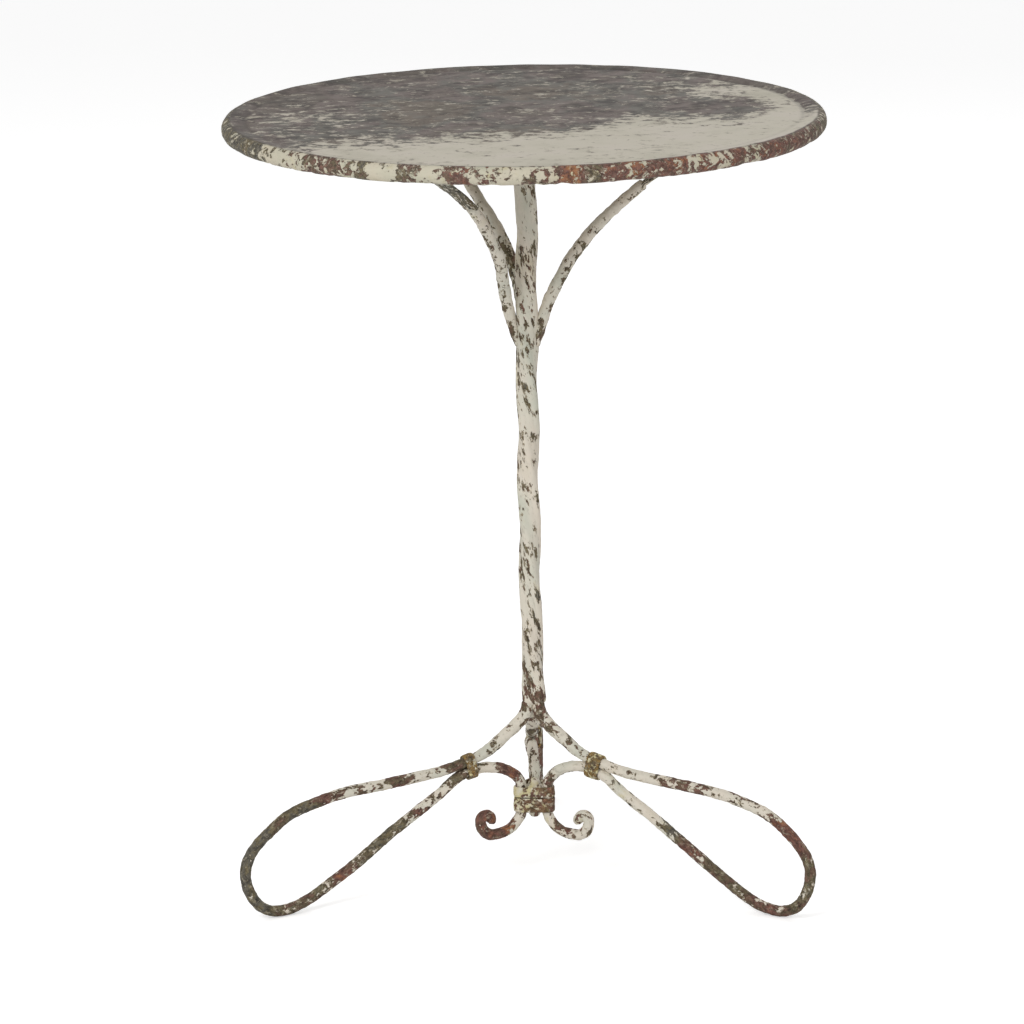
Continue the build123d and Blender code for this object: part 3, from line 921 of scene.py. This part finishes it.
def top_section():
    """The section as radii, heights and distances along it, with its corners softened, and how far along it
    the crest of the roll lies. It goes from the middle out over the roll, round the hem and back below."""
    table = np.array(TOP_SECTION) * MM
    run = run_along(table)
    flat = np.linspace(0, run[1], 64, endpoint=False)
    roll = np.linspace(run[1], run[-2], 104, endpoint=False)
    below = np.linspace(run[-2], run[-1], 20)
    even = np.concatenate([flat, roll, below])
    r = np.interp(even, run, table[:, 0])
    z = np.interp(even, run, table[:, 1])
    soft = slice(66, 166)
    for _ in range(2):
        r[soft] = (np.roll(r, 1) + r * 2 + np.roll(r, -1))[soft] / 4
        z[soft] = (np.roll(z, 1) + z * 2 + np.roll(z, -1))[soft] / 4
    return r[:, None], z[:, None], even[:, None], run[np.argmax(table[:, 1])]


# %% Top shape
TOP_AROUND = 640


def top():
    """The section spun round, its rim wandering by fractions of a millimetre and its hem nibbled."""
    r, z, along, crest_run = top_section()
    a = np.linspace(0, 2 * np.pi, TOP_AROUND, endpoint=False)[None, :]
    circle = spun(np.ones_like(a), a, 0 * a) * TOP_RADIUS * MM
    front_angle = (np.degrees(a) + 90 + 180) % 360 - 180
    edge = eased(r, (TOP_RADIUS - 40) * MM, TOP_RADIUS * MM)
    hem = 1 - eased(z, (HEM_Z + 0.5) * MM, (HEM_Z + 8) * MM)
    eaten = 1 + 1.6 * np.exp(-(((front_angle - 10) / 7) ** 2))
    nibble = np.clip(lumps(circle, 0.035, 301) + 0.8 * lumps(circle, 0.011, 302), -0.2, 1.4) * eaten
    radius = r + edge * (0.45 * MM * lumps(circle, 0.16, 303) + 0.22 * MM * lumps(circle, 0.03, 304))
    face = spun(radius, a, z)
    height = z + 0.25 * MM * lumps(face, 0.12, 305) * eased(r, 0.0, 0.06) + hem * edge * 0.9 * MM * nibble
    height = height + edge * (1 - hem) * 0.28 * MM * lumps(circle, 0.05, 306)
    height = np.minimum(height, (CREST + 0.3) * MM)
    radius = radius + edge * 0.22 * MM * lumps(spun(radius, a, height), 0.008, 307)
    grid = spun(radius, a, height)

    past = along - crest_run + 0.7 * MM * lumps(circle, 0.012, 308)
    # brow, groove and shoulder are where shade is painted: a thin line just past the crest, the inner
    # groove, and the shoulder at the back and sides. The shoulder also keeps less paint.
    brow = np.exp(-(((past - 0.6 * MM) / (1.1 * MM)) ** 2))
    above = along < crest_run
    back_and_sides = 1 - eased(front_angle, -78, -52) * eased(-front_angle, -96, -76)
    shoulder = eased(r, (BEAD - 1.5) * MM, (BEAD + 2) * MM) * above * back_and_sides
    groove = np.exp(-(((r - (BEAD - 1) * MM) / (2.2 * MM)) ** 2)) * above * (0.25 + 0.75 * back_and_sides)
    kept = top_cover(grid[..., 0] / MM, grid[..., 1] / MM) * (1 - 0.8 * shoulder) + 0.10 * shoulder
    notes = {
        "rim": eased(past, -1.2 * MM, 0.8 * MM),
        "kept": np.clip(kept, 0, 1),
        # dark: painted shade along the crest line, in the groove and on the shoulder, with a little grime
        "dark": np.maximum(0.75 * brow, 0.6 * groove) + 0.25 * shoulder,
        "rim_kept": told(RIM_COVER, front_angle) + 0 * r,
        "warm": told(RIM_WARM, front_angle) + 0 * r,
    }
    return skin("top_sheet", grid, notes)


# %% Where the top kept its paint
RIM_COVER = [
    (-180, 0.3), (-95, 0.3), (-80, 0.22), (-60, 0.16), (-58, 0.66), (-46, 0.70), (-44.5, 0.24),
    (-37, 0.28), (-35.5, 0.62), (-33, 0.56), (-32, 0.22), (-30.5, 0.20), (-29.5, 0.84), (-24.5, 0.80),
    (-23.4, 0.24), (-20.5, 0.30), (-19.4, 0.80), (-14.4, 0.68), (-13.4, 0.16), (-11, 0.18), (-10, 0.66),
    (-7, 0.46), (-6.4, 0.84), (0.6, 0.62), (1.4, 0.10), (1.9, 0.62), (5.2, 0.64), (6.2, 0.22), (12, 0.08),
    (16, 0.26), (31, 0.24), (32, 0.56), (33.6, 0.56), (34.4, 0.2), (35.9, 0.28), (36.3, 0.66),
    (37.4, 0.60), (38, 0.2), (38.8, 0.54), (41, 0.54), (42, 0.2), (44.2, 0.24), (45, 0.64), (48.8, 0.62),
    (50, 0.14), (70, 0.14), (82, 0.30), (95, 0.4), (180, 0.3),
]
RIM_WARM = [
    (-180, 0.2), (-95, 0.08), (-60, 0.12), (-46, 0.46), (-38, 0.50), (-33, 0.34), (-30, 0.30),
    (-23, 0.36), (-12, 0.60), (0, 0.44), (5.5, 0.64), (9.5, 0.84), (12, 0.35), (13.5, 0.34), (15, 0.70),
    (34, 0.64), (60, 0.56), (80, 0.36), (95, 0.2), (180, 0.2),
]


PAINT_LINE = [
    (-290, -225), (-215, -185), (-170, -140), (-110, -136), (-40, -120), (20, -108), (55, -96), (80, -62),
    (110, -34), (150, -38), (200, -48), (250, -24), (290, 16),
]


def patch(x, y, middle, size):
    """1 in the middle of an oval and falling away as a bell curve; middle and size are (x, y) in mm."""
    return np.exp(-(((x - middle[0]) / size[0]) ** 2) - (((y - middle[1]) / size[1]) ** 2))


def top_cover(x, y):
    """Paint left on the flat: full in front of a wandering line across the top, with patches behind it at
    the right and left, and one hole in the front part."""
    front = eased(told(PAINT_LINE, x) - y, -70, 52)
    right = 0.58 * patch(x, y, (192, 122), (58, 62)) + 0.72 * eased(x, 200, 252) * eased(190 - y, 0, 120)
    left = 0.24 * patch(x, y, (-205, -20), (62, 85)) + 0.5 * patch(x, y, (-276, 30), (9, 40))
    hole = 0.55 * patch(x, y, (190, 30), (42, 28))
    return np.clip(0.10 + 0.84 * front + right + left - hole, 0, 0.96)


# %% Finish of the top
METAL_SHADES = [
    (0.28, tone(98, 92, 80)),
    (0.40, tone(114, 104, 94)),
    (0.48, tone(106, 105, 99)),
    (0.56, tone(118, 107, 103)),
    (0.64, tone(104, 96, 88)),
    (0.76, tone(120, 114, 108)),
]
METAL_STAINS = [(0.40, tone(118, 104, 94)), (0.50, tone(220, 212, 204)), (0.58, tone(255, 252, 248))]
FACE_SHADES = [(0.30, tone(184, 178, 160)), (0.5, tone(196, 189, 172)), (0.7, tone(200, 191, 178))]


def bare_sheet(bench, at, film):
    """Dull brown-grey metal with dark stains, a film of old paint by the share film, and pale scuffs."""
    drift = bench.cloud(bench.stretch(at, (1, 0.7, 1)), 90, 5, 0.62)
    metal = bench.ramp(drift, METAL_SHADES)
    stain = bench.cloud(bench.stretch(at, (0.8, 1.0, 1.0), (3.1, 1.7, 0)), 20, 7, 0.74, 0.3)
    metal = bench.blend(0.8, metal, bench.ramp(stain, METAL_STAINS), "MULTIPLY")
    metal = bench.blend(film, metal, tone(150, 144, 134))
    scuffs = bench.cloud(bench.stretch(at, (0.7, 1.0, 1.0), (5.3, 0.4, 0)), 12, 7, 0.74, 0.3)
    return bench.blend(bench.between(scuffs, 0.575, 0.625, 0.0, 0.72), metal, tone(186, 178, 160))


def front_paint(bench, at, field):
    """Greige paint with dark specks, duller where the field says it is nearly worn through."""
    face = bench.ramp(bench.cloud(at, 60, 4, 0.55), FACE_SHADES)
    dots = bench.cloud(bench.stretch(at, (0.7, 1, 1), (0.2, 9.1, 0)), 7.5, 5, 0.66)
    face = bench.blend(bench.between(dots, 0.640, 0.675, 0.0, 0.75), face, tone(124, 114, 98))
    dulled = bench.blend(0.6, face, tone(156, 147, 130))
    return bench.blend(bench.between(field, 0.52, 0.84), dulled, face)


def worn_top():
    """Greige paint at the front worn through to dull brown-grey metal behind, and a rust-spotted rim;
    painted shade darkens the rim's paint, the crest line, the groove and the shoulder.
    """
    bench = Bench("paint on the top")
    at = bench.place()
    drawn = bench.stretch(at, (0.85, 1.0, 1.0))
    crumbs = bench.cloud(drawn, 11.0, 6, 0.70, 0.25)
    field = bench.swung(bench.cloud(drawn, 44, 7, 0.70, 0.4), 1.5, bench.note("kept"))
    field = bench.swung(crumbs, 2.8, field)
    paint_left = bench.between(field, 0.48, 0.54)
    metal = bare_sheet(bench, at, bench.between(field, 0.24, 0.50, 0.0, 0.50))
    flat = bench.blend(paint_left, metal, front_paint(bench, at, field))

    iron, grit = rust(bench, at, bench.note("warm"))
    rim_field = bench.swung(bench.cloud(at, 7, 6, 0.74), 2.5, bench.note("rim_kept"))
    rim_field = bench.swung(bench.cells(at, 5.0), 0.6, rim_field)
    rim_left = bench.between(rim_field, 0.48, 0.51)
    # The rim's paint is the coat dulled half way to a darker cream: painted shade on the rim, which faces
    # down into shade.
    shaded_rim_paint = bench.blend(0.5, coat(bench, at, 0.4), tone(182, 174, 146))
    rim = bench.note("rim")
    colour = bench.blend(rim, flat, bench.blend(rim_left, iron, shaded_rim_paint))
    # Painted shade: the dark note darkens the crest line, the groove and the shoulder towards near-black
    # brown, broken up by crumbs; a little of it is grime.
    shade_and_grime = bench.maths("MULTIPLY", bench.note("dark"), bench.between(crumbs, 0.30, 0.60, 1.0, 0.55))
    colour = bench.blend(shade_and_grime, colour, tone(62, 54, 48))

    rough = bench.between(paint_left, 0, 1, 0.72, 0.62)
    coat_height = bench.blend(rim, bench.maths("MULTIPLY", paint_left, 0.30), rim_left)
    texture = bench.blend(rim, bench.maths("MULTIPLY", crumbs, 0.7), grit)
    height = bench.raised(coat_height, 0.42, bench.maths("MULTIPLY", texture, 0.45))
    return bench.finish(colour, rough, height)


dressed(top(), worn_top(), "worn_top_paint", "top_sheet")

# %% [markdown]
# ## Hidden iron
#
# Two pieces of the model are kept as they are: the wire inside the roll and the plate under the sheet.
# They get a plain rusted finish, so that nothing bare shows from below.

# %% Plate and wire
def plain_rust(name):
    """Rust all over, warmer and colder in broad patches."""
    bench = Bench(name)
    at = bench.place()
    iron, grit = rust(bench, at, bench.cloud(at, 60, 2))
    return bench.finish(iron, bench.between(grit, 0.3, 0.7, 0.75, 0.95), grit, 0.6 * MM)


old_iron = plain_rust("old iron")
for node in ("rim_wire", "head_plate"):
    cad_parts[node].data.materials.clear()
    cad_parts[node].data.materials.append(old_iron)
print("kept nodes dressed")
